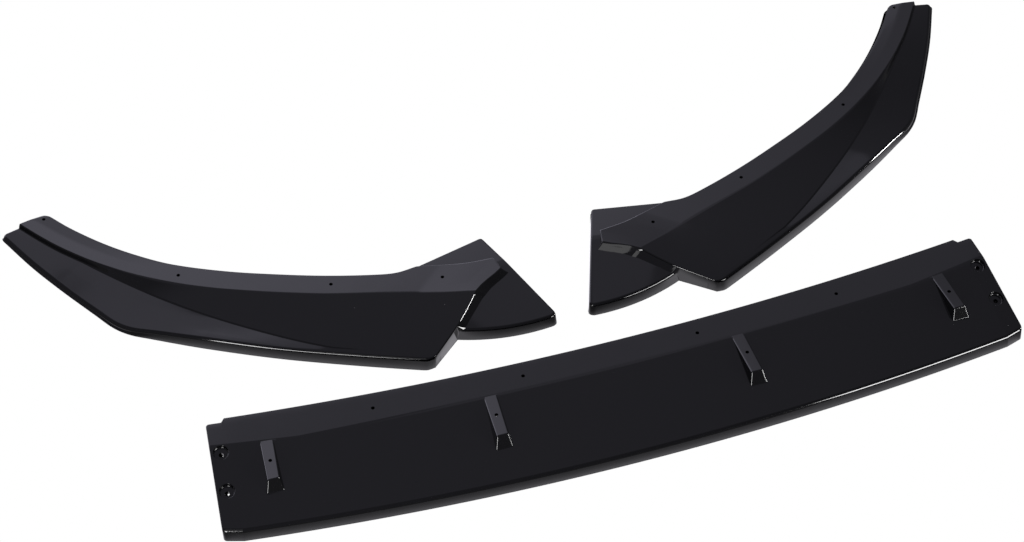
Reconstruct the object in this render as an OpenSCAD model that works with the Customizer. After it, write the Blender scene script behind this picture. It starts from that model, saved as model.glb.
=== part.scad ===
// Three-piece front splitter lip for a car, moulded in gloss black plastic.
// A centre panel and two mirror-image wings lie side by side on the ground, as they come
// before fitting. Each piece is a thin shell, open below, whose front rim rolls down to
// the ground. Millimetres, +Z up. The origin is under the middle of the centre panel's
// front rim, +X runs along the panel and +Y points back towards the car.

/* [Plastic] */
// Wall thickness of every moulding
wall = 3; // [2.5:0.1:3.5]
// Radius of the rolled rim along the front edges
rim_r = 4; // [3:0.5:5]
// Lean of the rim wall between its foot and the rolled edge
rim_draft = 2; // [1.5:0.25:3]
// Radius of the rolled edge along the walls at a moulding's end
end_r = 2.3; // [1.5:0.1:2.3]
// Rounding of the free edges that have no wall under them
edge_r = 0.8; // [0.4:0.1:1.2]

/* [Screw holes] */
// Diameter of the fixing holes in the flanges and fins
screw_d = 4; // [3:0.25:5]
// Diameter of the screw hole at the bottom of each end recess
joint_screw_d = 5; // [4:0.25:6]

/* [Centre panel] */
// Length of the panel between its front corners
panel_length = 884; // [840:1:960]
// How much shorter the panel is along its rear corners
panel_taper = 22; // [10:1:40]
// Depth from the front rim to the rear edge, at the middle
panel_depth = 136; // [125:1:160]
// How far the front edge bows forward between its ends
front_bow = 28.5; // [15:0.5:40]
// How far the rear edge bows forward between its ends
rear_bow = 26; // [15:0.5:40]
// Height of the level flange above the ground
panel_flange_h = 32; // [28:1:38]
// Height of the rolled front rim
panel_rim_h = 14.5; // [12:0.5:18]
// Depth of the level flange at the middle
flange_depth = 34; // [26:0.5:44]
// How far the line between flange and ramp bows forward
bend_bow = 16; // [8:0.5:24]
// Softness of the bend between flange and ramp, to each side
bend_soft = 3; // [2:0.5:9]
// Length of the bevelled corner at each end of the front edge
corner_length = 20; // [14:1:26]
// How far back the bevelled corner leads
corner_back = 6; // [2:0.5:10]
// Length of the set-back tab at each end of the rear edge
tab_length = 20; // [15:1:24]
// How far the tab is set back from the rear edge
tab_step = 5; // [2:0.5:7]
// Distance from the middle to the inner screw holes of the flange
hole_inner = 97.5; // [60:0.5:120]
// Distance from the rear edge to the inner screw holes
hole_inner_inset = 18; // [12:0.5:21]
// Distance from the middle to the outer screw holes of the flange
hole_outer = 259.5; // [200:0.5:320]
// Distance from the rear edge to the outer screw holes
hole_outer_inset = 19.5; // [12:0.5:21]
// Distance from the outer fins to the cross ribs underneath
rib_gap = 45; // [30:1:90]

/* [Fins] */
// Distance from the middle to the inner fins
fin_inner = 138; // [110:1:180]
// Distance from the panel's end to the outer fins
fin_end_gap = 67; // [60:1:85]
// Length of the inner fins, from the bend to their foot
fin_inner_length = 60; // [50:1:66]
// Length of the outer fins, from the bend to their foot
fin_outer_length = 53; // [50:1:66]
// Width of a fin's level top
fin_top_w = 12.5; // [11.5:0.5:15]
// Lean of a fin's side faces, in degrees
fin_lean = 13; // [8:1:18]
// Rise of the fin's top from the flange to its front end
fin_rise = 3.5; // [1:0.5:5]
// Run of the fin's steep end face
fin_end_run = 7; // [4:0.5:10]
// Distance from the bend to the screw hole in a fin's top
fin_hole = 25; // [18:1:34]

/* [End recesses] */
// Diameter of the round recesses for the joining screws
recess_d = 16; // [14:0.5:17]
// Depth of the recesses
recess_depth = 5; // [3:0.5:7]
// Distance from the panel's end edge to the middle of the recesses
recess_inset = 11; // [10.5:0.5:14]
// Distance from the rear corner to the rear recess, along the end
recess_first = 37; // [30:1:46]
// Distance between the two recesses of one end
recess_pitch = 43; // [36:1:50]

/* [Wings] */
// Height of a wing's flange above the ground
wing_flange_h = 24; // [22:0.5:27]
// Height of the rolled rim along the inner half of the front edge
wing_rim_h = 15; // [13:0.5:16]
// Height of the wing's surface at its inner end, beside the panel
wing_end_h = 29; // [27.5:0.5:31]
// Drop from the flange to the tab at the rear of the inner end
tab_drop = 0.5; // [0.3:0.1:2]
// Height of the rim of the fan-shaped plate
fan_rim_h = 15.5; // [13:0.5:17]
// Height of the tip's underside above the ground
tip_lift = 11; // [6:0.5:12]
// Thickness of the winglet's outer edge
outer_edge_h = 4.5; // [4:0.25:6]
// Height of the winglet's edge at the kink
kink_h = 5.5; // [5:0.25:8]
// Drop from the flange to the winglet at the tip
tip_step = 3.5; // [2:0.25:5]
// Drop from the flange to the winglet from the middle on
mid_step = 7; // [5:0.25:8]
// Fall of the rear strip towards the tip's rear corner
tip_fall = 1.5; // [0:0.25:2.5]

/* [Layout] */
// Angle of the left wing on the ground, in degrees
left_turn = -17.5; // [-25:0.5:-10]
// Angle of the right wing on the ground, in degrees
right_turn = 21; // [15:0.5:26]

/* [Hidden] */
gloss_black = [0.06, 0.06, 0.065];
left_place = [-255.5, 300.5, 0];
right_place = [218.5, 314.5, 0];
sink = 1;
inner_run = 0.6;

// Centre panel in plan
front_y = -wall / 2;
rear_y = front_y + panel_depth;
bend_y = rear_y - flange_depth;
half_front = panel_length / 2;
half_rear = half_front - panel_taper / 2;
tab_x = half_rear - tab_length;
tab_run = 4;
end_kink_x = half_front - 97;
fin_outer = half_front - fin_end_gap;
rib_x = fin_outer - rib_gap;
end_kink = 9.5;
fin_turn = 0.08;

// Wing in plan: x runs from the tip to the inner end, y back towards the car
tip_outer = [-379, 72.5];
tip_rear = [-330, 100];
front_corner = [111.5, -93];
leave = [88, 27.6];
step_fade = [140, 32];
step_rear = [172, 38.5];
step_front = [182, 22];
tab_corner = [158.5, 70.5];
tab_root = [76, 19.4];
fan_root = [126, -55];
fan_corner = [243.5, -32.5];
fan_bow = 8;
side_hollow = 7.5;
side_spread = 11;
front_curve = [tip_outer, [-340, 35.5], [-300, 2.4], [-262, -26.8], [-240, -43.5], [-222, -52],
    [-200, -57.2], [-140, -69.6], [-60, -82.4], [20, -90.8], [96, -96.6], [104, -96.4], front_corner];
rear_curve = [tip_rear, [-300, 79.4], [-260, 57.3], [-220, 40.2], [-180, 27.7], [-120, 18.6],
    [-60, 14.7], [-10, 13.5], [40, 15.2], [66, 18.4], leave];
bend_curve = [[-400, 116], [-340, 71.5], [-300, 46.5], [-240, 18.5], [-180, 1.8], [-120, -7.2],
    [-20, -12.5], [60, -9.8], [160, -8.5], [200, -8]];
crease_curve = [[-400, 112], [-360, 84], [-300, 42], [-240, 6.8], [-180, -22.2], [-100, -52.4],
    [-20, -76], [60, -90], [120, -92], [200, -92]];
wing_holes = [[-331.5, 91.5], [-173, 12.3], [-5, 1.2], [116.5, 12]];

// Straight line that starts at 0, with a soft bend that reaches width w to each side
function blend(x, w) = x <= -w ? 0 : x >= w ? x : pow(x + w, 2) / (4 * w);

// Drop of a quarter-round edge of radius r, at distance x from where it starts
function round_drop(x, r) = x >= r ? 0 : x <= 0 ? r : r - sqrt(r * r - pow(r - x, 2));

// Smooth curve through points that are sorted by x
function span(p, x, i = 0) = i >= len(p) - 2 || x < p[i + 1][0] ? i : span(p, x, i + 1);
function steepness(p, i) = let(a = max(i - 1, 0), b = min(i + 1, len(p) - 1))
    (p[b][1] - p[a][1]) / (p[b][0] - p[a][0]);
function curve(p, x) =
    let(i = span(p, x), h = p[i + 1][0] - p[i][0], u = (x - p[i][0]) / h,
        a = steepness(p, i) * h, b = steepness(p, i + 1) * h, rise = p[i + 1][1] - p[i][1])
    p[i][1] + u * (a + u * (3 * rise - 2 * a - b + u * (a + b - 2 * rise)));

// Share of the way from point a to point b at which that line crosses a curve
function crossing(a, b, p, low = 0, high = 1, n = 16) =
    let(mid = (low + high) / 2, q = a + (b - a) * mid)
    n == 0 ? mid
    : q[1] > curve(p, q[0]) ? crossing(a, b, p, low, mid, n - 1)
    : crossing(a, b, p, mid, high, n - 1);

// A section is a list of: front point, rear point, breaks, foot height, end distance,
// hollow and underside. Breaks are [distance behind the front edge, height, softness] from
// the rim to the rear edge. The end distance tells how far inside a closed end it lies.
// Hollow is the most that the section bends towards the tip. Underside is the height to
// which a wall reaches down along the rear edge.
function depth_of(s) = s[2][len(s[2]) - 1][0];
function slope(k, i) = (k[i + 1][1] - k[i][1]) / (k[i + 1][0] - k[i][0]);
function skin(k, d, i = 1) =
    i == 1 ? k[0][1] + slope(k, 0) * (d - k[0][0]) + (len(k) > 2 ? skin(k, d, 2) : 0)
    : (slope(k, i - 1) - slope(k, i - 2)) * blend(d - k[i - 1][0], k[i - 1][2])
        + (i < len(k) - 1 ? skin(k, d, i + 1) : 0);
function bends(k, at) = [for (i = [1 : len(k) - 2]) each [for (s = at) k[i][0] + s * k[i][2]]];

// Points of a section in plan. The foot of a side wall spreads away from its top.
function in_plan(s, d) =
    let(u = max(0, min(1, d / depth_of(s))), q = s[0] + (s[1] - s[0]) * d / depth_of(s))
    s[5] == undef ? q
    : s[4] == 0 ? q + [side_spread * u, 0]
    : s[4] == 0.05 || s[4] == wall ? q + [0.8 * side_spread * u, 0]
    : q - [s[5] * pow(sin(180 * pow(u, 2.3)), 2), 0];

// Outer body of a moulding, solid down to the ground
function outer_marks(k) = concat([0, rim_draft],
    [for (s = [0.1, 0.35, 0.65, 1]) rim_draft + s * rim_r],
    [(rim_draft + rim_r + k[1][0] - k[1][2]) / 2], bends(k, [-1, -0.4, 0.4, 1]),
    [for (s = [1.5 * edge_r, 0]) k[len(k) - 1][0] - s]);
function rim_round(s) = min(rim_r, 0.8 * (s[2][0][1] - s[3] - 0.4));
function outer_z(s, d) =
    let(e = s[4], z = skin(s[2], d) - (d <= rim_draft + rim_r ? round_drop(d - rim_draft, rim_round(s)) : 0)
        - (d >= depth_of(s) ? edge_r : 0))
    d == 0 || e == 0 ? s[3] + 0.4
    : e == 0.05 ? s[3] + 0.4 + 0.66 * (z - s[3] - 0.4)
    : max(s[3] + 0.4, z - (e == undef ? 0 : e < 0 ? edge_r : round_drop(e - 0.6, end_r)));
module outer(sections) {
    block([for (s = sections) [for (d = outer_marks(s[2])) concat(in_plan(s, d), [outer_z(s, d), s[3]])]]);
}

// Hollow of a moulding, which leaves the wall on every side but the open ones
function inner_marks(k) = let(n = len(k) - 1) concat([wall, wall + inner_run, wall + inner_run + 1.5],
    bends(k, [-1, 1]), [for (s = [-wall - inner_run, -wall, 2]) k[n][0] + s]);
function inner_z(s, d) =
    d <= wall || s[4] == wall ? s[3] + 0.2
    : max(s[3] + 0.2, skin(s[2], d) - wall - (d <= wall + inner_run ? 1 : 0)
        - (s[6] != undef && d >= depth_of(s) - wall ? max(0, skin(s[2], d) - wall - s[6]) : 0));
module inner(sections) {
    block([for (s = sections) [for (d = inner_marks(s[2])) concat(in_plan(s, d), [inner_z(s, d), s[3] - sink])]]);
}

// Shares half way between those of a list, so that the hollow has its own sections
function between(p) = [for (i = [0 : len(p) - 2]) (p[i] + p[i + 1]) / 2];

// Closed body over rows of points, each [x, y, top, bottom]
module block(rows) {
    n = len(rows[0]);
    m = len(rows);
    low = m * n;
    faces = [
        for (i = [0 : m - 2]) for (j = [0 : n - 2]) let(a = i * n + j, b = a + 1, c = a + n + 1, d = a + n)
            each [[a, b, c], [a, c, d], [low + a, low + c, low + b], [low + a, low + d, low + c]],
        for (i = [0 : m - 2]) let(a = i * n, d = a + n, b = a + n - 1, c = d + n - 1)
            each [[a, d, low + d], [a, low + d, low + a], [b, low + c, c], [b, low + b, low + c]],
        for (j = [0 : n - 2]) let(b = (m - 1) * n + j)
            each [[j, low + j + 1, j + 1], [j, low + j, low + j + 1],
                [b, b + 1, low + b + 1], [b, low + b + 1, low + b]]];
    polyhedron(points = concat([for (r = rows) for (q = r) [q[0], q[1], q[2]]],
        [for (r = rows) for (q = r) [q[0], q[1], q[3]]]), faces = faces, convexity = 8);
}

// Centre panel: lines in plan as functions of x
function bow(x, depth) = depth * pow(x / half_front, 2);
function panel_front(x) = let(c = half_front - corner_length) front_y + bow(min(abs(x), c), front_bow)
    + max(0, abs(x) - c) * corner_back / corner_length;
function panel_rear(x) = rear_y + bow(x, rear_bow)
    - tab_step * min(1, max(0, (abs(x) - tab_x) / tab_run));
function panel_bend(x) = bend_y + bow(x, bend_bow)
    + end_kink * max(0, abs(x) - end_kink_x) / (half_front - end_kink_x);
function panel_breaks(to_bend, long) = [[rim_draft, panel_rim_h, 0], [to_bend, panel_flange_h, bend_soft],
    [long, panel_flange_h, 0]];
function panel_z(x, y) = let(f = panel_front(x))
    skin(panel_breaks(panel_bend(x) - f, panel_rear(x) - f), y - f);
function panel_section(side, inset) =
    let(xf = side * (half_front - inset), xr = xf * half_rear / half_front,
        f = [xf, panel_front(xf)], r = [xr, panel_rear(xr)], long = norm(r - f),
        to_bend = (panel_bend((xf + xr) / 2) - f[1]) / (r[1] - f[1]) * long)
    [f, r, panel_breaks(to_bend, long), 0, inset == 0 ? -1 : undef];
tab_inset = half_rear - tab_x;
function panel_sections(ends, n) = let(insets = concat(ends,
    [for (i = [0 : n]) 50 + i * (half_front - 50) / n])) concat(
    [for (i = insets) panel_section(-1, i)],
    [for (i = [len(insets) - 2 : -1 : 0]) panel_section(1, insets[i])]);
panel_outer = panel_sections([0, 1.5 * edge_r, corner_length / 2, tab_inset - tab_run,
    tab_inset, corner_length + 10], 14);
panel_inner = panel_sections([-2, corner_length / 2 + 1, corner_length + 8], 13);

// Raised fins, whose tops carry on from the flange over the ramp
function fin_ring(side, x, q, top, half, base, d) =
    let(t = tan(fin_lean), turn = x > (fin_inner + fin_outer) / 2 ? fin_turn : fin_turn / 2, y = panel_bend(x) - q,
        r = 1.6, w = [[half + t * (top - base), base], [half + t * r, top - r], [half - r * 0.25, top - r * 0.3],
            [half - r, top]])
    [for (p = w) [side * (x + turn * q) + p[0], y, p[1]], for (i = [3 : -1 : 0])
        [side * (x + turn * q) - w[i][0], y, w[i][1]]];
function fin_rings(side, x, length, off) =
    let(run = length - fin_end_run, rise = fin_rise / run, t = tan(fin_lean),
        ramp = panel_z(x, panel_bend(x) - length), top = panel_flange_h + fin_rise - off,
        w = fin_top_w / 2 - off * 0.95, end = length - off)
    concat(
        [for (q = [-8]) fin_ring(side, x, q, panel_flange_h - 0.7 - off, w + 1, panel_flange_h - wall - off - 4)],
        [for (p = off > 0 ? [[3, 0], [0.4, 1.6]] : [[3, 0], [1.4, 0.3], [0.5, 0.9], [0, 1.8]])
            let(q = run - off - p[0], z = top - rise * p[0] - p[1])
                fin_ring(side, x, q, z, w + t * p[1], ramp - wall - off - 1)],
        [fin_ring(side, x, end, ramp - off, w + t * (top - ramp), ramp - wall - off - 3)],
        off > 0 ? [] : [fin_ring(side, x, end + 2, ramp - 3, w + t * (top - ramp), ramp - wall - off - 5)]);
module fin(side, x, length, off = 0) {
    rings = fin_rings(side, x, length, off);
    n = len(rings[0]);
    m = len(rings);
    faces = [
        for (i = [0 : m - 2]) for (j = [0 : n - 1]) let(k = (j + 1) % n) each [
            [i * n + j, (i + 1) * n + k, i * n + k], [i * n + j, (i + 1) * n + j, (i + 1) * n + k]],
        [for (j = [0 : n - 1]) j],
        [for (j = [n - 1 : -1 : 0]) (m - 1) * n + j]];
    polyhedron(points = [for (r = rings) each r], faces = faces, convexity = 4);
}
module fins(off = 0) {
    for (side = [-1, 1]) {
        fin(side, fin_inner, fin_inner_length, off);
        fin(side, fin_outer, fin_outer_length, off);
    }
}

// Round recesses near the panel's ends, along the slanting end edge
rear_corner = [half_rear, panel_rear(half_rear)];
end_run = ([half_front, panel_front(half_front)] - rear_corner)
    / norm([half_front, panel_front(half_front)] - rear_corner);
function recess_at(side, i) =
    let(p = rear_corner + end_run * (recess_first + i * recess_pitch) + [end_run[1], -end_run[0]] * recess_inset)
    [side * p[0], p[1], panel_z(p[0], p[1]) - recess_depth];
module at_recesses() {
    for (side = [-1, 1]) for (i = [0, 1]) translate(recess_at(side, i)) children();
}

module centre_panel() {
    color(gloss_black) difference() {
        union() {
            outer(panel_outer);
            fins();
        }
        difference() {
            inner(panel_inner);
            at_recesses() translate([0, 0, -wall]) cylinder(d = recess_d + 2 * wall, h = 40, $fn = 48);
            for (side = [-1, 1]) translate([side * rib_x - wall / 2, 15, -2])
                cube([wall, rear_y + bow(rib_x, rear_bow) - 27, 45]);
        }
        fins(wall);
        at_recesses() cylinder(d = recess_d, h = 40, $fn = 48);
        at_recesses() translate([0, 0, -wall - 1]) cylinder(d = joint_screw_d, h = 40, $fn = 32);
        for (side = [-1, 1]) {
            translate([side * hole_inner, panel_rear(hole_inner) - hole_inner_inset, 20])
                cylinder(d = screw_d, h = 30, $fn = 32);
            translate([side * hole_outer, panel_rear(hole_outer) - hole_outer_inset, 20])
                cylinder(d = screw_d, h = 30, $fn = 32);
            translate([side * (fin_inner + fin_turn / 2 * fin_hole), panel_bend(fin_inner) - fin_hole, 20])
                cylinder(d = screw_d, h = 30, $fn = 32);
            translate([side * (fin_outer + fin_turn * fin_hole), panel_bend(fin_outer) - fin_hole, 20])
                cylinder(d = screw_d, h = 30, $fn = 32);
        }
    }
}

// Wing: sections run from the tip's end edge to the side wall at the inner end
leave_share = 0.815;
step_share = 0.965;
wing_tab_h = wing_flange_h - tab_drop;
function wing_front(t) = let(x = tip_outer[0] + (front_corner[0] - tip_outer[0]) * t) [x, curve(front_curve, x)];
function wing_rear(t) =
    t <= leave_share ? let(x = tip_rear[0] + (leave[0] - tip_rear[0]) * t / leave_share)
        [x, curve(rear_curve, x)]
    : t <= step_share ? let(x = leave[0] + (step_rear[0] - leave[0]) * (t - leave_share)
        / (step_share - leave_share)) [x, curve([leave, step_fade, step_rear], x)]
    : step_rear + (step_front - step_rear) * (t - step_share) / (1 - step_share);
function rim_height(x) = curve([[tip_outer[0], tip_lift + outer_edge_h], [-330, kink_h + 5],
    [-270, kink_h], [-235, kink_h + 0.5], [-190, wing_rim_h - 4], [-140, wing_rim_h - 0.6],
    [-60, wing_rim_h], [front_corner[0], wing_rim_h + 1.2]], x);
function foot_height(x) = max(0, curve([[tip_outer[0], tip_lift], [-330, kink_h + 5 - outer_edge_h],
    [-270, kink_h - outer_edge_h + 0.5], [-245, 0], [-200, -1], [0, -1], [200, -1]], x));
function flange_height(t) = wing_flange_h
    + (wing_end_h - wing_flange_h) * pow(max(0, (t - 0.86) / 0.14), 1.4);
function wing_section(t, end) =
    let(f = wing_front(t), r = wing_rear(t), long = norm(r - f), x = f[0],
        d_bend = crossing(f, r, bend_curve) * long,
        d_crease = min(max(crossing(f, r, crease_curve) * long, rim_draft + rim_r + 4), d_bend - 3.6),
        gap = d_bend - d_crease,
        soft_crease = min(6, 0.35 * gap, d_crease - rim_draft - rim_r - 0.5),
        z = flange_height(t), rim = rim_height(x),
        step = curve([[0, tip_step], [0.2, tip_step + 0.5], [0.5, mid_step], [1, mid_step + 0.5]], t),
        crease = t > 0.8 ? rim + (z - rim) * d_crease / d_bend : z - step)
    [f, r, [[rim_draft, rim, 0], [d_crease, crease, soft_crease], [d_bend, z, min(3, 0.35 * gap)],
        [long, z - tip_fall * max(0, 1 - t / 0.3), 0]], foot_height(x), end,
        t > 0.9 ? side_hollow * (t - 0.9) / 0.1 : undef, t > 0.84 ? wing_tab_h - 0.7 * wall : undef];
function wing_end(e) = wing_section(1 - e / 400, e);
wing_shares = [0.03, 0.07, 0.11, 0.15, 0.19, 0.22, 0.245, 0.265, 0.28, 0.3, 0.32, 0.345, 0.38,
    0.42, 0.47, 0.52, 0.57, 0.62, 0.67, 0.72, 0.76, 0.79, leave_share, 0.84, 0.87, 0.9, 0.93, step_share];
wing_outer = concat([wing_section(0, -1), wing_section(0.003)], [for (t = wing_shares) wing_section(t)],
    [wing_section(0.978)],
    [for (e = [0.6 + end_r, 0.6 + 0.6 * end_r, 0.6 + 0.2 * end_r, 0.6, 0.05, 0]) wing_end(e)]);
wing_inner = concat([wing_section(-0.008)], [for (t = between(wing_shares)) wing_section(t)],
    [for (e = [wall + inner_run, wall]) wing_end(e)]);

// Tab and fan-shaped plate at the inner end, moulded in one with the wing
function fan_section(t, end) =
    let(p = fan_root + (fan_corner - fan_root) * t, f = p + [0.19, -0.98] * fan_bow * 4 * t * (1 - t),
        r = tab_root + (tab_corner - tab_root) * t, long = norm(r - f))
    [f, r, [[rim_draft, fan_rim_h, 0], [0.68 * long, wing_tab_h, 6], [long, wing_tab_h, 0]], 0, end];
function fan_end(e) = fan_section(1 - e / 105, e);
fan_shares = [0.15, 0.3, 0.42, 0.52, 0.62, 0.72, 0.82, 0.9];
fan_outer = concat([fan_section(0)], [for (t = fan_shares) fan_section(t)],
    [for (e = [0.6 + end_r, 0.6 + 0.6 * end_r, 0.6 + 0.2 * end_r, 0.6, 0]) fan_end(e)]);
fan_inner = concat([fan_section(-0.05)], [for (t = between(fan_shares)) fan_section(t)],
    [for (e = [wall + inner_run, wall]) fan_end(e)]);

module wing() {
    difference() {
        union() {
            outer(wing_outer);
            outer(fan_outer);
        }
        inner(wing_inner);
        inner(fan_inner);
        for (p = wing_holes) translate([p[0], p[1], 0]) cylinder(d = screw_d, h = 60, $fn = 32);
    }
}
module left_wing() {
    color(gloss_black) translate(left_place) rotate(left_turn) wing();
}
module right_wing() {
    color(gloss_black) translate(right_place) rotate(right_turn) mirror([1, 0, 0]) wing();
}

centre_panel();
left_wing();
right_wing();
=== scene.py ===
import math

import bmesh
import bpy
import numpy as np
from mathutils import Matrix, Vector


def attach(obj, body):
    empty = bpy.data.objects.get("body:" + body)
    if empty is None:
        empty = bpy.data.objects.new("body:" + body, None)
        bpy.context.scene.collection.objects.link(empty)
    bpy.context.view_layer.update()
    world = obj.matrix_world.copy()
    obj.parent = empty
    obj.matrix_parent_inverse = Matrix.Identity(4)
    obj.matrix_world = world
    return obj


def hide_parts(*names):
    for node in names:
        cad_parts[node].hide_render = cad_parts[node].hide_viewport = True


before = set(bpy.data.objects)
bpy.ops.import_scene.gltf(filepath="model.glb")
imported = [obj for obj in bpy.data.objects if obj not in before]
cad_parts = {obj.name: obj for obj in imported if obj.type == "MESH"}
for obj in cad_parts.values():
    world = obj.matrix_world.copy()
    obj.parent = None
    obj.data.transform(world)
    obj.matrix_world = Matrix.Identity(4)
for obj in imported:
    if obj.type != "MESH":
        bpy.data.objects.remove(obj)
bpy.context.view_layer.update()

# Centre panel
# The middle piece of the lip, moulded in one in gloss black plastic and screwed to the
# bumper. It is a bowed shell, open below and at its ends, with a level screw flange, a ramp
# down to a rolled front rim, four raised fins and two screw recesses near each end.

# the plastic is black all through and polished on its upper side
plastic = bpy.data.materials.new("gloss_black")
plastic.use_nodes = True
tree = plastic.node_tree
bsdf = tree.nodes["Principled BSDF"]
bsdf.inputs["IOR"].default_value = 1.5
on_piece = tree.nodes.new("ShaderNodeTexCoord")

# long, very shallow waves from the mould and the cooling
waves = tree.nodes.new("ShaderNodeTexNoise")
waves.inputs["Scale"].default_value = 11
waves.inputs["Detail"].default_value = 1
ripple = tree.nodes.new("ShaderNodeBump")
ripple.inputs["Strength"].default_value = 1.0
ripple.inputs["Distance"].default_value = 0.00008
tree.links.new(on_piece.outputs["Object"], waves.inputs["Vector"])
tree.links.new(waves.outputs["Fac"], ripple.inputs["Height"])
tree.links.new(ripple.outputs["Normal"], bsdf.inputs["Normal"])

# the polish is a little uneven
polish = tree.nodes.new("ShaderNodeTexNoise")
polish.inputs["Scale"].default_value = 34
polish.inputs["Detail"].default_value = 4
dull = tree.nodes.new("ShaderNodeMapRange")
dull.inputs["From Min"].default_value = 0.3
dull.inputs["From Max"].default_value = 0.7
dull.inputs["To Min"].default_value = 0.055
dull.inputs["To Max"].default_value = 0.085
tree.links.new(on_piece.outputs["Object"], polish.inputs["Vector"])
tree.links.new(polish.outputs["Fac"], dull.inputs["Value"])

# a few specks of dust: one small dot in some cells of a cell pattern
cells = tree.nodes.new("ShaderNodeTexVoronoi")
cells.inputs["Scale"].default_value = 75
chosen = tree.nodes.new("ShaderNodeMath")
chosen.operation = "GREATER_THAN"
chosen.inputs[1].default_value = 0.86
speck = tree.nodes.new("ShaderNodeMath")
speck.operation = "LESS_THAN"
speck.inputs[1].default_value = 0.022
dust = tree.nodes.new("ShaderNodeMath")
dust.operation = "MULTIPLY"
tint = tree.nodes.new("ShaderNodeMix")
tint.data_type = "RGBA"
tint.inputs["A"].default_value = (0.0022, 0.0022, 0.0024, 1)
tint.inputs["B"].default_value = (0.22, 0.21, 0.21, 1)
rough = tree.nodes.new("ShaderNodeMix")
rough.inputs["B"].default_value = 0.6
tree.links.new(on_piece.outputs["Object"], cells.inputs["Vector"])
tree.links.new(cells.outputs["Color"], chosen.inputs[0])
tree.links.new(cells.outputs["Distance"], speck.inputs[0])
tree.links.new(chosen.outputs[0], dust.inputs[0])
tree.links.new(speck.outputs[0], dust.inputs[1])
tree.links.new(dust.outputs[0], tint.inputs["Factor"])
tree.links.new(dust.outputs[0], rough.inputs["Factor"])
tree.links.new(dull.outputs["Result"], rough.inputs["A"])
tree.links.new(rough.outputs["Result"], bsdf.inputs["Roughness"])
tree.links.new(tint.outputs["Result"], bsdf.inputs["Base Color"])

# sizes of the moulding's wall and edges, in millimetres like every size of the mouldings
wall = 3.0
rim_radius = 4.0
end_radius = 1.8
edge_radius = 0.8
# the rim and the end walls lean in by this much between the ground and their roll
rim_lean = 2.0
wall_lean = 0.6
# the outer skin stays this far above its foot, and the hollow under it this far
skin_foot = 0.4
hollow_foot = 0.2
# steps of each rounded stretch
fine = 10

# sizes of the panel
half_front = 442.0
half_rear = 431.0
front_y = -1.5
rear_y = 134.5
bend_y = 100.5
front_bow = 28.5
rear_bow = 26.0
bend_bow = 16.0
bend_soft = 3.0
# towards the ends the bend turns further back
bend_back = 9.5
bend_back_from = 345.0
flange_height = 32.0
rim_height = 14.5
# the front corners are cut back, and a tab at each end of the rear edge is set forward
corner_length = 20.0
corner_back = 6.0
corner_radius = 3.5
tab_length = 20.0
tab_step = 5.0
tab_run = 4.0
# screw holes, round recesses with a cup around each, and the ribs underneath
screw = 4.0
recess_screw = 5.0
cup = 22.0
recess_inset = 11.0
recess_reach = (37.0, 80.0)
rib_x = 330.0
# fins: distance from the middle, length, turn, and run of the steep end face
inner_fin = (138.0, 60.0, 0.04, 7.8)
outer_fin = (375.0, 56.0, 0.08, 7.0)
fin_hole = 25.0
fin_half_top = 6.25
fin_rise = 3.0
fin_lean = 13
fin_foot_radius = 2.0
fin_edge_radius = 1.3


def spread(first, last, steps):
    # evenly spaced values, both ends included
    return [first + (last - first) * i / steps for i in range(steps + 1)]


def blend(past, soft):
    # how far a softened bend has turned away, at this distance past its middle
    if past <= -soft:
        return 0.0
    if past >= soft:
        return past
    return (past + soft) ** 2 / (4 * soft)


def skin(breaks, away):
    # height at a distance behind the front edge, through (distance, height, softness) breaks
    slopes = [(high[1] - low[1]) / (high[0] - low[0]) for low, high in zip(breaks, breaks[1:])]
    z = breaks[0][1] + slopes[0] * (away - breaks[0][0])
    for i in range(1, len(slopes)):
        z += (slopes[i] - slopes[i - 1]) * blend(away - breaks[i][0], breaks[i][2])
    return z


def rounded(inset, radius):
    # how far a quarter-round edge lies below its corner, at this distance from the edge
    if inset >= radius:
        return 0.0
    if inset <= 0:
        return radius
    return radius - math.sqrt(max(0.0, radius ** 2 - (radius - inset) ** 2))


def outer_marks(breaks):
    # distances behind the front edge at which the skin is drawn, close on round stretches
    marks = [0.0, rim_lean / 2]
    marks += [rim_lean + rim_radius * (1 - math.cos(math.radians(turn))) for turn in spread(0, 90, fine)]
    last = marks[-1]
    for away, height, soft in breaks[1:-1]:
        marks += spread(last, away - soft, 4)[1:]
        marks += spread(away - soft, away + soft, fine)[1:]
        last = away + soft
    long = breaks[-1][0]
    marks += spread(last, long - edge_radius, 4)[1:]
    return marks + [long - edge_radius * (1 - math.sin(math.radians(turn))) for turn in (30, 60, 78, 90)]


def hollow_marks(breaks, bends, steps):
    # the same for the hollow, which follows only the main bends
    long = breaks[-1][0]
    marks = [wall, wall + 0.6, wall + 2.1]
    for away, height, soft in bends:
        marks += spread(away - soft, away + soft, steps)
    return marks + [long - wall - 0.6, long - wall, long + 2]


def outer_row(section, marks):
    # one cross section of the outer skin, from the rim over the top to the rear edge's foot;
    # a section is its breaks, the height of its foot, how far it lies from an end wall or from
    # an end's sharp edge, and where a distance behind the front edge lies on the ground
    breaks, foot, to_wall, to_edge, place = section
    long = breaks[-1][0]
    radius = min(rim_radius, 0.8 * (breaks[0][1] - foot - skin_foot))
    row = []
    for away in marks:
        z = skin(breaks, away)
        if rim_lean <= away <= rim_lean + rim_radius:
            z -= rounded(away - rim_lean, radius)
        if away < rim_lean:
            z = foot + skin_foot + (breaks[0][1] - radius - foot - skin_foot) * away / rim_lean
        if away > long - edge_radius:
            z -= rounded(long - away, edge_radius)
        if to_wall == 0:
            z = foot + skin_foot
        elif to_wall is not None:
            z -= rounded(to_wall - wall_lean, end_radius)
        elif to_edge is not None:
            z -= rounded(to_edge, edge_radius)
        row.append((*place(away), max(z, foot + skin_foot)))
    row.append((*place(marks[-1]), foot))
    row.append((*place(0), foot))
    return row


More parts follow.
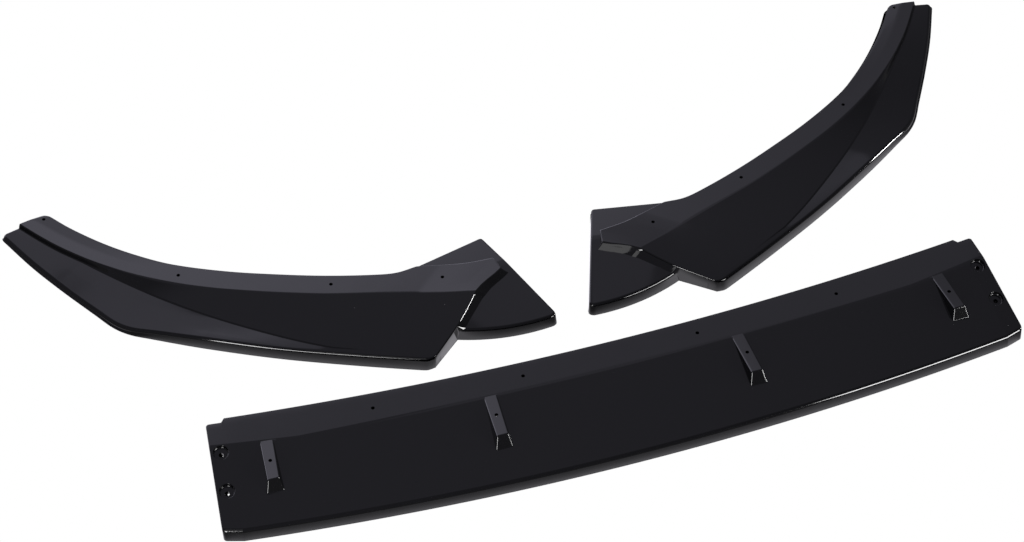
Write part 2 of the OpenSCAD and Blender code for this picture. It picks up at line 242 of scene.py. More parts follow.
def inner_row(section, marks, ceiling=None):
    # one cross section of the hollow, from behind the rim to past the open rear edge
    breaks, foot, to_wall, to_edge, place = section
    long = breaks[-1][0]
    row = []
    for away in marks:
        z = skin(breaks, away) - wall
        if away <= wall + 0.6:
            z -= 1.0
        if ceiling is not None and away >= long - wall:
            z = min(z, ceiling)
        if away <= wall or to_wall == wall:
            z = foot + hollow_foot
        row.append((*place(away), max(z, foot + hollow_foot)))
    row.append((*place(marks[-1]), foot - 1))
    row.append((*place(wall), foot - 1))
    return row


def solid(name, shape):
    # object from a bmesh, with its faces turned outwards
    bmesh.ops.recalc_face_normals(shape, faces=shape.faces)
    mesh = bpy.data.meshes.new(name)
    shape.to_mesh(mesh)
    shape.free()
    ob = bpy.data.objects.new(name, mesh)
    bpy.context.collection.objects.link(ob)
    return ob


def closed(name, rows):
    # solid through ring-shaped rows, with a flat cap at each end
    shape = bmesh.new()
    rings = [[shape.verts.new((x / 1000, y / 1000, z / 1000)) for x, y, z in row] for row in rows]
    count = len(rings[0])
    for near, far in zip(rings, rings[1:]):
        for i in range(count):
            after = (i + 1) % count
            shape.faces.new((near[i], near[after], far[after], far[i]))
    shape.faces.new(rings[0][::-1])
    shape.faces.new(rings[-1])
    return solid(name, shape)


def cut(ob, tool, way="DIFFERENCE"):
    # takes a tool out of an object, or joins it on, and throws the tool away
    step = ob.modifiers.new("cut", "BOOLEAN")
    step.operation = way
    step.solver = "MANIFOLD"
    step.object = tool
    bpy.context.view_layer.objects.active = ob
    bpy.ops.object.modifier_apply(modifier=step.name)
    bpy.data.objects.remove(tool)


def drill(x, y, low, high, across, sides=48):
    # round cutter that stands upright between two heights
    bpy.ops.mesh.primitive_cylinder_add(vertices=sides, radius=across / 2000, depth=(high - low) / 1000,
                                        location=(x / 1000, y / 1000, (low + high) / 2000))
    tool = bpy.context.object
    bpy.ops.object.transform_apply(location=True, rotation=True, scale=True)
    return tool


def smooth(ob):
    # round stretches shade evenly, and true edges stay crisp
    bpy.ops.object.select_all(action="DESELECT")
    ob.select_set(True)
    bpy.context.view_layer.objects.active = ob
    bpy.ops.object.shade_smooth_by_angle(angle=math.radians(24))
    even = ob.modifiers.new("even", "WEIGHTED_NORMAL")
    even.keep_sharp = True
    even.weight = 80
    bpy.ops.object.modifier_apply(modifier=even.name)


def bow(x, depth):
    # how far back the panel is swept at x, next to its middle
    return depth * (x / half_front) ** 2


def panel_front(x):
    corner = half_front - corner_length
    past = max(0, abs(x) - corner)
    return front_y + bow(min(abs(x), corner), front_bow) + past * corner_back / corner_length


def panel_rear(x):
    into_tab = (abs(x) - half_rear + tab_length) / tab_run
    return rear_y + bow(x, rear_bow) - tab_step * min(1, max(0, into_tab))


def panel_bend(x):
    past = max(0, abs(x) - bend_back_from) / (half_front - bend_back_from)
    return bend_y + bow(x, bend_bow) + bend_back * past


def panel_section(x, to_edge=None):
    # the cross section that starts at x on the front edge
    rear_x = x * half_rear / half_front
    front = np.array((x, panel_front(x)))
    rear = np.array((rear_x, panel_rear(rear_x)))
    way = (rear - front) / np.linalg.norm(rear - front)
    shorter = rounded(half_front - abs(x), corner_radius)
    front = front + way * shorter
    rear = rear - way * shorter
    long = np.linalg.norm(rear - front)
    bend = (panel_bend((x + rear_x) / 2) - front[1]) / (rear[1] - front[1]) * long
    breaks = [(rim_lean, rim_height, 0), (bend, flange_height, bend_soft), (long, flange_height, 0)]

    def place(away):
        return tuple(front + (rear - front) * away / long)
    return breaks, 0.0, None, to_edge, place


def panel_height(x, y):
    # height of the skin where something stands on it
    front = panel_front(x)
    breaks = [(rim_lean, rim_height, 0), (panel_bend(x) - front, flange_height, bend_soft),
              (panel_rear(x) - front, flange_height, 0)]
    return skin(breaks, y - front)


# the rows lie close at the corners, the tabs and the rounded ends
near_end = [0, 0.1, 0.2, 0.35, 0.5, 0.8, 1.2, 1.8, 2.6, 3.5, 5, 8, 13, 16, 17, 19, 20, 21, 23, 26]
at_tab = [-1, 0, 0.6, 1.4, 2.6, 3.4, 4, 5]
places = [half_front - inset for inset in near_end] + spread(0, half_front - 30, 70)
places += [(half_rear - tab_length + past) * half_front / half_rear for past in at_tab]
places = sorted(set(places))
places = [-x for x in reversed(places) if x > 0] + places
rows = []
for x in places:
    inset = half_front - abs(x)
    section = panel_section(x, inset if inset < edge_radius else None)
    rows.append(outer_row(section, outer_marks(section[0])))
panel = closed("centre_panel_shell", rows)

# the hollow runs out at both ends, with a cup left around each recess and two cross ribs
rows = []
for x in [-half_front - 2] + spread(-half_front + 8, half_front - 8, 90) + [half_front + 2]:
    section = panel_section(x)
    breaks = section[0]
    rows.append(inner_row(section, hollow_marks(breaks, breaks[1:2], 4)))
hollow = closed("hollow", rows)
rear_corner = np.array((half_rear, panel_rear(half_rear)))
end_line = np.array((half_front, panel_front(half_front))) - rear_corner
end_line /= np.linalg.norm(end_line)
recesses = []
for side in (-1, 1):
    for reach in recess_reach:
        x, y = rear_corner + end_line * reach + np.array((end_line[1], -end_line[0])) * recess_inset
        recesses.append((side * x, y, panel_height(x, y)))
for x, y, z in recesses:
    cut(hollow, drill(x, y, z - 8, z + 20, cup))
for side in (-1, 1):
    bpy.ops.mesh.primitive_cube_add(size=0.001, location=(side * rib_x / 1000, 0.0745, 0.0205))
    rib = bpy.context.object
    rib.scale = (wall, 119, 45)
    bpy.ops.object.transform_apply(location=True, rotation=True, scale=True)
    cut(hollow, rib)


def fin(side, x, length, turn, face_run, inside):
    # wedge with leaning sides and a steep end face that runs out into the ramp; inside is 0
    # for its outer shape, and the wall for the hollow under it
    draft = math.tan(math.radians(fin_lean))
    bend = panel_bend(x)
    top = flange_height + fin_rise - inside
    ramp = panel_height(x, bend - length) - inside
    half_top = fin_half_top - inside * 0.95
    low = ramp - 4 - wall
    outline = [(-8, flange_height - 0.5 - inside), (length - face_run - inside, top)]
    if not inside:
        # a fillet takes the end face over into the ramp
        steep = math.atan2(top - ramp, face_run)
        gentle = math.atan2(flange_height - rim_height, bend - panel_front(x))
        reach = fin_foot_radius * math.tan((steep - gentle) / 2)
        start = length - reach * math.cos(steep)
        start_z = ramp + reach * math.sin(steep)
        for angle in spread(steep, gentle, 6):
            out = fin_foot_radius * (math.sin(steep) - math.sin(angle))
            down = fin_foot_radius * (math.cos(angle) - math.cos(steep))
            outline.append((start + out, start_z - down))
        outline.append((outline[-1][0] + 0.3, outline[-1][1] - 0.3))
    outline += [(length + 1.5 - inside, low), (-8, low + 9)]
    shape = bmesh.new()
    cheeks = []
    for cheek in (-1, 1):
        ring = []
        for away, z in outline:
            across = side * (x + turn * away) + cheek * (half_top + draft * (top - z))
            ring.append(shape.verts.new((across / 1000, (bend - away) / 1000, z / 1000)))
        cheeks.append(ring)
    near, far = cheeks
    for i in range(len(outline)):
        after = (i + 1) % len(outline)
        shape.faces.new((near[i], near[after], far[after], far[i]))
    shape.faces.new(near)
    shape.faces.new(far)
    if not inside:
        bmesh.ops.recalc_face_normals(shape, faces=shape.faces)
        edges = [shape.edges.get((ring[i], ring[i + 1])) for ring in cheeks for i in range(len(outline) - 3)]
        edges.append(shape.edges.get((near[1], far[1])))
        bmesh.ops.bevel(shape, geom=edges, offset=fin_edge_radius / 1000, offset_type="OFFSET", segments=6,
                        profile=0.5, affect="EDGES", clamp_overlap=False)
    return solid("fin", shape)


fins = [(side, *kind) for side in (-1, 1) for kind in (inner_fin, outer_fin)]
for one in fins:
    cut(panel, fin(*one, 0), "UNION")
cut(panel, hollow)
for one in fins:
    cut(panel, fin(*one, wall))

# each recess is cut by one turned tool that stands square to the sloping skin, with a flat
# seat, a rounded foot and a rounded mouth; the screw hole goes straight down
seat_outline = [(6.4 + 1.6 * math.sin(math.radians(turn)), -3.4 - 1.6 * math.cos(math.radians(turn)))
                for turn in (0, 15, 30, 45, 60, 75, 90)]
seat_outline += [(8.6 - 0.6 * math.cos(math.radians(turn)), -0.6 + 0.6 * math.sin(math.radians(turn)))
                 for turn in (0, 18, 36, 54, 72, 90)]
seat_outline.append((8.6, 6.0))
for x, y, z in recesses:
    shape = bmesh.new()
    rings = []
    for radius, high in seat_outline:
        ring = []
        for turn in range(64):
            angle = math.pi * turn / 32
            ring.append(shape.verts.new((radius * math.cos(angle) / 1000, radius * math.sin(angle) / 1000,
                                         high / 1000)))
        rings.append(ring)
    for low, high in zip(rings, rings[1:]):
        for i in range(64):
            shape.faces.new((low[i], low[(i + 1) % 64], high[(i + 1) % 64], high[i]))
    shape.faces.new(rings[0])
    shape.faces.new(rings[-1])
    seat = solid("seat", shape)
    slope = math.atan2(panel_height(abs(x), y + 4) - panel_height(abs(x), y - 8), 12)
    seat.data.transform(Matrix.Translation((x / 1000, y / 1000, z / 1000)) @ Matrix.Rotation(slope, 4, "X"))
    cut(panel, seat)
    cut(panel, drill(x, y, z - 12, z, recess_screw))

# screw holes: two pairs in the flange and one in each fin
for side in (-1, 1):
    for x, y in ((97.5, panel_rear(97.5) - 18), (259.5, panel_rear(259.5) - 19.5),
                 (139.0, panel_bend(inner_fin[0]) - fin_hole), (377.0, panel_bend(outer_fin[0]) - fin_hole)):
        cut(panel, drill(side * x, y, 20, 50, screw, 32))
panel.data.materials.clear()
panel.data.materials.append(plastic)
smooth(panel)
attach(panel, "root")
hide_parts("centre_panel")

# Left wing
# The left corner of the lip, a moulding of the same plastic, screwed to the bumper by its
# level flange. It has a hollowed ramp, a winglet that thins towards the tip, and a
# fan-shaped plate at its inner end that goes under the centre panel.
tip_front = (-379, 72.5)
tip_rear = (-330, 100)
front_corner = (111.5, -93)
# the rear edge leaves the flange here and runs out to the step of the inner end
leave = (88, 27.6)
step_middle = (140, 32)
step_rear = (172, 38.5)
step_front = (182, 22)
leave_share = 0.815
step_share = 0.965
front_curve = [tip_front, (-340, 35.5), (-300, 2.4), (-262, -26.8), (-240, -43.5), (-222, -52),
               (-200, -57.2), (-140, -69.6), (-60, -82.4), (20, -90.8), (96, -96.6), (104, -96.4),
               front_corner]
rear_curve = [tip_rear, (-300, 79.4), (-260, 57.3), (-220, 40.2), (-180, 27.7), (-120, 18.6), (-60, 14.7),
              (-10, 13.5), (40, 15.2), (66, 18.4), leave]
bend_curve = [(-400, 116), (-340, 71.5), (-300, 46.5), (-240, 18.5), (-180, 1.8), (-120, -7.2), (-20, -12.5),
              (60, -9.8), (160, -8.5), (200, -8)]
crease_curve = [(-400, 112), (-360, 84), (-300, 42), (-240, 6.8), (-180, -22.2), (-100, -52.4), (-20, -76),
                (60, -90), (120, -92), (200, -92)]
# heights of the rim and of its foot along the front edge
rim_curve = [(-379, 15.5), (-330, 10.5), (-270, 5.5), (-235, 6), (-190, 11), (-140, 14.4), (-60, 15),
             (111.5, 16.2)]
foot_curve = [(-379, 11), (-330, 6), (-270, 1.5), (-245, 0), (-200, -1), (0, -1), (200, -1)]
# from the tip (0) to the inner end (1): the step down to the winglet, and how much deeper
# the ramp is hollowed than that step
step_curve = [(0, 3.5), (0.2, 4), (0.5, 7), (1, 7.5)]
sink_curve = [(0, 3.4), (0.12, 3.8), (0.2, 4.2), (0.3, 3.2), (0.41, 2.0), (0.5, 1.5), (0.6, 1.3), (0.7, 0.9),
              (0.8, 0.4), (0.9, 0), (1, 0)]
wing_flange_height = 24
end_rise = 3.6
tip_fall = 1.6
end_bulge = 7.5
tip_front_radius = 3.5
tip_rear_radius = 6
# how many millimetres a share of 1 stands for, near the tip and near the inner end
tip_run = 490
end_run = 400
# the inner wall stands upright in front of the fan plate's root and slants behind it, and
# further back its rolled edge turns straight into the slant
slant_from, slant_to = 0.332, 0.362
turn_from, turn_to = 0.69, 0.74
# extra points along each section, as shares of the way back, keep these turns crisp
inner_marks = (0.325, 0.338, 0.351, 0.365, 0.40, 0.68, 0.70, 0.72, 0.74)


def curve(points, x):
    # where a smooth curve through points that are sorted by x lies at this x
    points = np.asarray(points, float)
    last = len(points) - 1
    i = int(np.clip(np.searchsorted(points[:, 0], x, side="right") - 1, 0, last - 1))

    def slope(n):
        before = points[max(n - 1, 0)]
        after = points[min(n + 1, last)]
        return (after[1] - before[1]) / (after[0] - before[0])
    width = points[i + 1, 0] - points[i, 0]
    rise = points[i + 1, 1] - points[i, 1]
    share = (x - points[i, 0]) / width
    first = slope(i) * width
    second = slope(i + 1) * width
    bent = 3 * rise - 2 * first - second + share * (first + second - 2 * rise)
    return points[i, 1] + share * (first + share * bent)


def crossing(front, rear, points):
    # share of the way from front to rear at which the line crosses a curve
    low = 0.0
    high = 1.0
    for _ in range(30):
        middle = (low + high) / 2
        x, y = front + (rear - front) * middle
        if y > curve(points, x):
            high = middle
        else:
            low = middle
    return low


def ease(x, low, high):
    # from 0 to 1 between low and high, with a soft start and end
    x = min(1, max(0, (x - low) / (high - low)))
    return x * x * (3 - 2 * x)


def wing_section(share, to_wall=None, to_edge=None):
    # the cross section at this share of the way from the tip to the inner end
    x = tip_front[0] + (front_corner[0] - tip_front[0]) * share
    front = np.array((x, curve(front_curve, x)))
    if share <= leave_share:
        rear_x = tip_rear[0] + (leave[0] - tip_rear[0]) * share / leave_share
        rear = np.array((rear_x, curve(rear_curve, rear_x)))
    elif share <= step_share:
        rear_x = leave[0] + (step_rear[0] - leave[0]) * (share - leave_share) / (step_share - leave_share)
        rear = np.array((rear_x, curve([leave, step_middle, step_rear], rear_x)))
    else:
        part = (share - step_share) / (1 - step_share)
        rear = np.array(step_rear) + (np.array(step_front) - np.array(step_rear)) * part
    way = (rear - front) / np.linalg.norm(rear - front)
    front = front + way * rounded(share * tip_run, tip_front_radius)
    rear = rear - way * rounded(share * tip_run, tip_rear_radius)
    long = np.linalg.norm(rear - front)
    bend = crossing(front, rear, bend_curve) * long
    sink = curve(sink_curve, share)
    crease = crossing(front, rear, crease_curve) * long + 0.9 * sink
    crease = min(max(crease, rim_lean + rim_radius + 4), bend - 2.4)
    gap = bend - crease
    raised = max(0, (share - 0.86) / 0.14)
    top = wing_flange_height + end_rise * raised ** 1.2
    rim = curve(rim_curve, x) + 0.25 * sink
    # the crease fades out towards the inner end, and a small lip on it catches a thin light
    fading = ease(share, 0.72, 0.88)
    sunk = top - curve(step_curve, share) - sink
    crease_z = (1 - fading) * sunk + fading * (rim + (top - rim) * crease / bend)
    lip = min(1.3, 0.35 * gap)
    lift = 0.8 * lip * (1 - fading) + (top - crease_z) / gap * lip * fading
    # towards the tip the rear half of the flange droops, at the inner end only its edge does
    droop = tip_fall * max(0, 1 - share / 0.3) + 0.4 * min(1, 3 * raised)
    droop_run, droop_soft = (0.5 * (long - bend), 3) if share < 0.5 else (1.5, 0.2)
    breaks = [(rim_lean, rim, 0), (crease, crease_z, 0.3 * lip), (crease + lip, crease_z + lift, 0.3 * lip),
              (bend, top, min(2, 0.35 * gap)), (long - droop_run, top, droop_soft), (long, top - droop, 0)]
    foot = max(0.0, curve(foot_curve, x))

    def place(away):
        part = max(0.0, min(1.0, away / long))
        spot = front + (rear - front) * away / long
        if to_wall == wall:
            # the end of the hollow keeps up with the slanting wall
            spot = spot + (4.0 * part * min(1, (part / 0.5) ** 2), 0)
        elif share > 0.9:
            # the inner end curves in towards the tip
            bulge = end_bulge * (share - 0.9) / 0.1
            spot = spot - (bulge * math.sin(math.pi * part ** 2.3) ** 2, 0)
        return tuple(spot)
    return breaks, foot, to_wall, to_edge, place


def wing_marks(breaks):
    long = breaks[-1][0]
    return sorted(outer_marks(breaks) + [part * long for part in inner_marks])


rows = []
for inset in (0, 0.2, 0.5, 0.8):
    section = wing_section(inset / tip_run, to_edge=inset)
    rows.append(outer_row(section, wing_marks(section[0])))
for share in [0.003, 0.005, 0.007, 0.009, 0.012] + spread(0.016, 0.986, 180):
    section = wing_section(share)
    rows.append(outer_row(section, wing_marks(section[0])))

# the rolled edge of the inner end; behind the turn it moves out and down with the slant
for angle, out, drop in ((90, 0, 0), (75, 0, 0), (60, 0, 0), (45, 0, 0), (30, 1.1, 0.7), (15, 2.3, 1.35),
                         (0, 3.6, 2.0)):
    inset = wall_lean + end_radius * (1 - math.cos(math.radians(angle)))
    section = wing_section(1 - inset / end_run, to_wall=inset)
    marks = wing_marks(section[0])
    row = outer_row(section, marks)
    for i, away in enumerate(marks):
        turned = ease(away / section[0][-1][0], turn_from, turn_to)
        x, y, z = row[i]
        row[i] = (x + out * turned, y, max(z - drop * turned, skin_foot))
    rows.append(row)

# the wall under it, in two rows: where it meets the fan plate and down at the ground; half
# round, the roll lies roll_reach below the top and roll_reach short of the wall, and from
# there the slant falls by slant_fall for each millimetre outwards; X is oblique to the wall
roll_reach = 0.53
slant_fall = 0.9
oblique = 0.85
inset = 0.05
section = wing_section(1 - inset / end_run, to_wall=inset)
marks = wing_marks(section[0])
upper = outer_row(section, marks)
lower = list(upper)
for i, away in enumerate(marks):
    slanted = ease(away / section[0][-1][0], slant_from, slant_to)
    x, y, z = upper[i]
    fall = 0.34 * (z - skin_foot)
    x += ((fall + end_radius - roll_reach) / slant_fall - roll_reach) / oblique * slanted
    upper[i] = (x, y, max(z - fall, skin_foot))
    lower[i] = (x + 0.3 * slanted, y, skin_foot)
rows += [upper, lower]
wing = closed("left_wing_shell", rows)

# the hollow runs out at the tip and ends before the inner wall, with more plastic above it
# where the inner end is raised
wing_hollow_top = 20.5
rows = []
for share in [-0.008] + spread(0.01, step_share, 90):
    section = wing_section(share)
    breaks = section[0]
    marks = hollow_marks(breaks, (breaks[1], breaks[3]), 3)
    rows.append(inner_row(section, marks, wing_hollow_top if share > 0.84 else None))
for inset in (wall + wall_lean, wall):
    section = wing_section(1 - inset / end_run, to_wall=inset)
    breaks = section[0]
    rows.append(inner_row(section, hollow_marks(breaks, (breaks[1], breaks[3]), 3), wing_hollow_top))
wing_hollow = closed("wing_hollow", rows)

# the fan plate: its root lies inside the wing, its front edge is an arc, and its outer end
# is a closed wall with a round corner
fan_root_front = np.array((126, -55.0))
fan_root_rear = np.array((76, 19.4))
fan_end_front = np.array((245.5, -32.5))
fan_end_rear = np.array((158.5, 70.5))
fan_arc = np.array((0.19, -0.98)) * 8
fan_run = 105
fan_front_radius = 7.5
fan_rear_radius = 4.5


def fan_section(share, to_wall=None):
    # the cross section at this share of the way from the root to the outer end
    front = fan_root_front + (fan_end_front - fan_root_front) * share + fan_arc * 4 * share * (1 - share)
    rear = fan_root_rear + (fan_end_rear - fan_root_rear) * share
    way = (rear - front) / np.linalg.norm(rear - front)
    front = front + way * rounded((1 - share) * fan_run, fan_front_radius)
    rear = rear - way * rounded((1 - share) * fan_run, fan_rear_radius)
    long = np.linalg.norm(rear - front)
    top = 23.8 - 1.8 * share
    breaks = [(rim_lean, 15.2 - 0.5 * share, 0), (0.68 * long, top, 6), (long, top, 0)]

    def place(away):
        return tuple(front + (rear - front) * away / long)
    return breaks, 0.0, to_wall, None, place


rows = []
for share in spread(0, 0.925, 58) + spread(0.93, 0.972, 8):
    section = fan_section(share)
    rows.append(outer_row(section, outer_marks(section[0])))
for angle in (90, 75, 60, 45, 30, 15, 0):
    inset = wall_lean + end_radius * (1 - math.cos(math.radians(angle)))
    section = fan_section(1 - inset / fan_run, inset)
    rows.append(outer_row(section, outer_marks(section[0])))
section = fan_section(1, 0)
rows.append(outer_row(section, outer_marks(section[0])))
fan = closed("fan", rows)
rows = []
for share in [-0.05] + spread(0.05, 0.95, 30):
    section = fan_section(share)
    rows.append(inner_row(section, hollow_marks(section[0], section[0][1:2], 4)))
for inset in (wall + wall_lean, wall):
    section = fan_section(1 - inset / fan_run, inset)
    rows.append(inner_row(section, hollow_marks(section[0], section[0][1:2], 4)))
fan_hollow = closed("fan_hollow", rows)
cut(wing, fan, "UNION")
cut(wing, wing_hollow)
cut(wing, fan_hollow)
for x, y in ((-331.5, 91.5), (-173, 12.3), (-5, 1.2), (116.5, 12)):
    cut(wing, drill(x, y, 5, 60, screw, 32))
wing.data.materials.clear()
wing.data.materials.append(plastic)
right_mesh = wing.data.copy()
# its place and angle on the ground, in metres
wing.data.transform(Matrix.Translation((-0.2555, 0.3005, 0)) @ Matrix.Rotation(math.radians(-17.5), 4, "Z"))
smooth(wing)
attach(wing, "root")
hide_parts("left_wing")

# Right wing
# The same moulding from the mirrored mould, in the same plastic and screwed on in the same
# way, laid down at its own angle.
right_wing = bpy.data.objects.new("right_wing_shell", right_mesh)
bpy.context.collection.objects.link(right_wing)
right_mesh.transform(Matrix.Translation((0.2185, 0.3145, 0)) @ Matrix.Rotation(math.radians(21), 4, "Z")
                     @ Matrix.Diagonal((-1, 1, 1, 1)))
right_mesh.flip_normals()
smooth(right_wing)
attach(right_wing, "root")
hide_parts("right_wing")

# Camera
# Long lens from the front left, well above the parts. The view leans sideways by a tenth
# of a degree, and the focal length is given in pixels of a picture 1024 pixels wide.
heading = 0.2942
pitch = math.radians(51.213)
roll = math.radians(0.116)
focal_pixels = 2311.1
picture_pixels = 1024
ahead = Vector((math.sin(heading), math.cos(heading), 0))
right = Vector((math.cos(heading), -math.sin(heading), 0))
up = Vector((0, 0, 1))
lens = bpy.data.cameras.new("camera")
lens.sensor_fit = "HORIZONTAL"
lens.sensor_width = 36
lens.lens = lens.sensor_width * focal_pixels / picture_pixels
lens.clip_end = 60
camera = bpy.data.objects.new("camera", lens)
bpy.context.collection.objects.link(camera)
bpy.context.scene.camera = camera
gaze = ahead * math.cos(pitch) - up * math.sin(pitch)
down = gaze.cross(right)
x_axis = right * math.cos(roll) + down * math.sin(roll)
y_axis = right * math.sin(roll) - down * math.cos(roll)
aim = Matrix((x_axis, y_axis, -gaze)).transposed().to_4x4()
camera.matrix_world = Matrix.Translation((-0.5259, -1.2568, 2.0)) @ aim

# Floor
# Smooth white paper, pure white for the camera as in a cut-out product picture. The gloss
# sees a painted reflection on it, a light band close to the parts and almost dark further off.
bpy.ops.mesh.primitive_plane_add(size=60, location=(0, 0, -0.0006))
floor = bpy.context.object
floor.name = "floor"
paper = bpy.data.materials.new("floor_white")
paper.use_nodes = True
tree = paper.node_tree
tree.nodes.clear()
out = tree.nodes.new("ShaderNodeOutputMaterial")
diffuse = tree.nodes.new("ShaderNodeBsdfDiffuse")
diffuse.inputs["Color"].default_value = (0.86, 0.86, 0.87, 1)
white = tree.nodes.new("ShaderNodeEmission")
white.inputs["Color"].default_value = (1, 1, 1, 1)
# painted reflection: this band glows for the gloss only, brightest where the parts occlude the floor
near = tree.nodes.new("ShaderNodeEmission")
near.inputs["Color"].default_value = (1.0, 0.98, 1.05, 1)
shade = tree.nodes.new("ShaderNodeAmbientOcclusion")
shade.inputs["Distance"].default_value = 0.05
shade.samples = 32
edge = tree.nodes.new("ShaderNodeMapRange")
edge.inputs["From Min"].default_value = 0.70
edge.inputs["From Max"].default_value = 0.93
edge.inputs["To Min"].default_value = 1.25
edge.inputs["To Max"].default_value = 0.12
path = tree.nodes.new("ShaderNodeLightPath")
gloss = tree.nodes.new("ShaderNodeMixShader")
seen_floor = tree.nodes.new("ShaderNodeMixShader")
tree.links.new(shade.outputs["AO"], edge.inputs["Value"])
tree.links.new(edge.outputs["Result"], near.inputs["Strength"])
tree.links.new(path.outputs["Is Glossy Ray"], gloss.inputs["Fac"])
tree.links.new(diffuse.outputs[0], gloss.inputs[1])
tree.links.new(near.outputs[0], gloss.inputs[2])
tree.links.new(path.outputs["Is Camera Ray"], seen_floor.inputs["Fac"])
tree.links.new(gloss.outputs[0], seen_floor.inputs[1])
tree.links.new(white.outputs[0], seen_floor.inputs[2])
tree.links.new(seen_floor.outputs[0], out.inputs["Surface"])
floor.data.materials.append(paper)

# Shade
# Flat dark sheets in the parts' own outline lie on the floor, shifted to what the camera
# can't see of it, so that the screw holes look dark.
dark = bpy.data.materials.new("floor_shade")
dark.use_nodes = True
dark.node_tree.nodes["Principled BSDF"].inputs["Base Color"].default_value = (0.012, 0.012, 0.014, 1)
dark.node_tree.nodes["Principled BSDF"].inputs["Roughness"].default_value = 0.9
flatten = Matrix.Identity(4)
flatten[0][2] = 0.66 * ahead.x
flatten[1][2] = 0.66 * ahead.y
flatten[2][2] = 0.0
flatten[2][3] = -0.0003
for ob in (panel, wing, right_wing):
    sheet = bpy.data.objects.new(ob.name + "_shade", ob.data.copy())
    sheet.data.materials.clear()
    sheet.data.materials.append(dark)
    sheet.data.transform(flatten)
    bpy.context.collection.objects.link(sheet)

# Studio light
# A bright wall ahead and one on the left end below a dim ceiling, so that level faces
# shine and ramps stay dark. Strip lights low down to the side and behind the camera draw
# the thin white lines on the rolled edges, and a card lights the right wing's inner wall.
bpy.context.scene.view_settings.view_transform = "Standard"
world = bpy.data.worlds.new("studio")
bpy.context.scene.world = world
world.use_nodes = True
tree = world.node_tree
tree.nodes.clear()
looked_at = tree.nodes.new("ShaderNodeTexCoord")


def along(direction):
    # how far the looked-at direction points along this one
    product = tree.nodes.new("ShaderNodeVectorMath")
    product.operation = "DOT_PRODUCT"
    product.inputs[1].default_value = direction
    tree.links.new(looked_at.outputs["Generated"], product.inputs[0])
    return product.outputs["Value"]


def fade(value, low, high, to_low, to_high):
    # from one brightness to another between two values
    step = tree.nodes.new("ShaderNodeMapRange")
    step.interpolation_type = "SMOOTHSTEP"
    step.inputs["From Min"].default_value = low
    step.inputs["From Max"].default_value = high
    step.inputs["To Min"].default_value = to_low
    step.inputs["To Max"].default_value = to_high
    tree.links.new(value, step.inputs["Value"])
    return step.outputs["Result"]


def join(way, one, other):
    both = tree.nodes.new("ShaderNodeMath")
    both.operation = way
    tree.links.new(one, both.inputs[0])
    tree.links.new(other, both.inputs[1])
    return both.outputs[0]


# the wall ahead: its far side, its right end, brighter low down and to the left
in_front = fade(along(ahead), 0.05, 0.25, 0.0, 1.0)
right_end = fade(along(-0.948 * right + 0.319 * ahead), -0.014, 0.012, 0.0, 1.0)
far_wall = fade(along(-0.220 * right + 0.769 * ahead - 0.6006 * up), -0.014, 0.012, 0.0, 1.0)
far_level = fade(along(right), -0.16, 0.16, 1.5, 0.62)
low_down = join("MAXIMUM", fade(along(up), 0.66, 0.76, 0.70, 1.0), fade(along(up), 0.42, 0.58, 1.7, 0.0))
wall_ahead = join("MULTIPLY", join("MULTIPLY", far_wall, low_down), far_level)
# the low part of the ceiling above it, and a dimmer panel higher up on the right
low_ceiling = fade(along(up), 0.828, 0.848, 0.56, 0.0)
low_ceiling = join("MULTIPLY", low_ceiling, fade(along(right), -0.30, 0.30, 1.25, 0.82))
high_panel = fade(along(up), 0.915, 0.94, 0.46, 0.0)
high_panel = join("MULTIPLY", high_panel, fade(along(right), -0.05, 0.0, 0.0, 1.0))
bright = join("MAXIMUM", join("MAXIMUM", wall_ahead, low_ceiling), high_panel)
bright = join("MULTIPLY", bright, join("MULTIPLY", in_front, right_end))
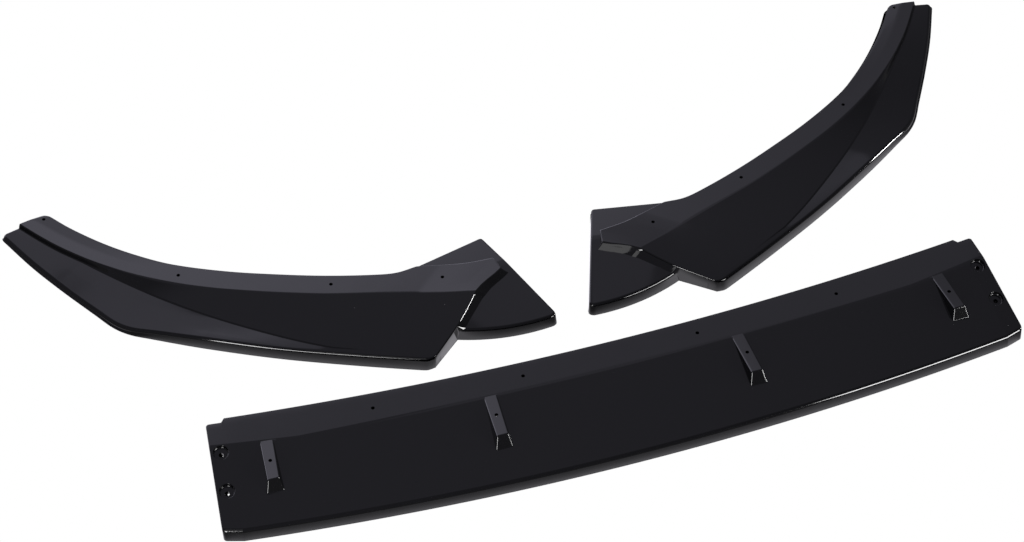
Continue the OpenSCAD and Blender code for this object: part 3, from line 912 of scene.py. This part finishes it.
# the wall on the left end
left_wall = fade(along(-0.80 * right + 0.42 * ahead - 0.405 * up), -0.012, 0.014, 0.0, 0.80)
left_end = fade(along(0.208 * right + 0.978 * ahead), -0.04, 0.06, 0.0, 1.0)
side_wall = join("MULTIPLY", left_wall, left_end)
# the dim ceiling over all, dimmer still to the right and behind
ceiling = fade(along(right), 0.0, 0.8, 0.31, 0.11)
ceiling = join("MULTIPLY", ceiling, fade(along(ahead), -0.25, 0.15, 0.55, 1.0))
light = join("MAXIMUM", join("MAXIMUM", bright, side_wall), ceiling)
dome = tree.nodes.new("ShaderNodeBackground")
dome.inputs["Color"].default_value = (0.95, 0.93, 1.12, 1)
clear = tree.nodes.new("ShaderNodeBackground")
clear.inputs["Color"].default_value = (1, 1, 1, 1)
path = tree.nodes.new("ShaderNodeLightPath")
mix = tree.nodes.new("ShaderNodeMixShader")
out = tree.nodes.new("ShaderNodeOutputWorld")
tree.links.new(light, dome.inputs["Strength"])
tree.links.new(path.outputs["Is Camera Ray"], mix.inputs["Fac"])
tree.links.new(dome.outputs[0], mix.inputs[1])
tree.links.new(clear.outputs[0], mix.inputs[2])
tree.links.new(mix.outputs[0], out.inputs["Surface"])

# each strip: name, degrees round to the right from straight ahead, half its width, lowest
# and highest degrees above the floor, and brightness
strips = (("strip_right", 126, 13, 2.5, 20, 24),
          ("strip_left", -161, 9, 2.5, 20, 20),
          ("strip_side", 87, 3, 1, 10, 100),
          ("card", -166, 6, 38, 48, 1.4))
# all of them hang this many metres from the parts
strip_distance = 8.0
for name, turn, half, low, high, level in strips:
    lamp = bpy.data.lights.new(name, "AREA")
    lamp.shape = "RECTANGLE"
    lamp.size = 2 * strip_distance * math.tan(math.radians(half))
    lamp.size_y = 2 * strip_distance * math.tan(math.radians((high - low) / 2))
    lamp.energy = level * math.pi * lamp.size * lamp.size_y
    middle = math.radians((low + high) / 2)
    level_way = right * math.sin(math.radians(turn)) + ahead * math.cos(math.radians(turn))
    way = level_way * math.cos(middle) + up * math.sin(middle)
    strip = bpy.data.objects.new(name, lamp)
    strip.location = Vector((0, 0.2, 0)) + way * strip_distance
    strip.rotation_euler = way.to_track_quat("Z", "Y").to_euler()
    bpy.context.collection.objects.link(strip)
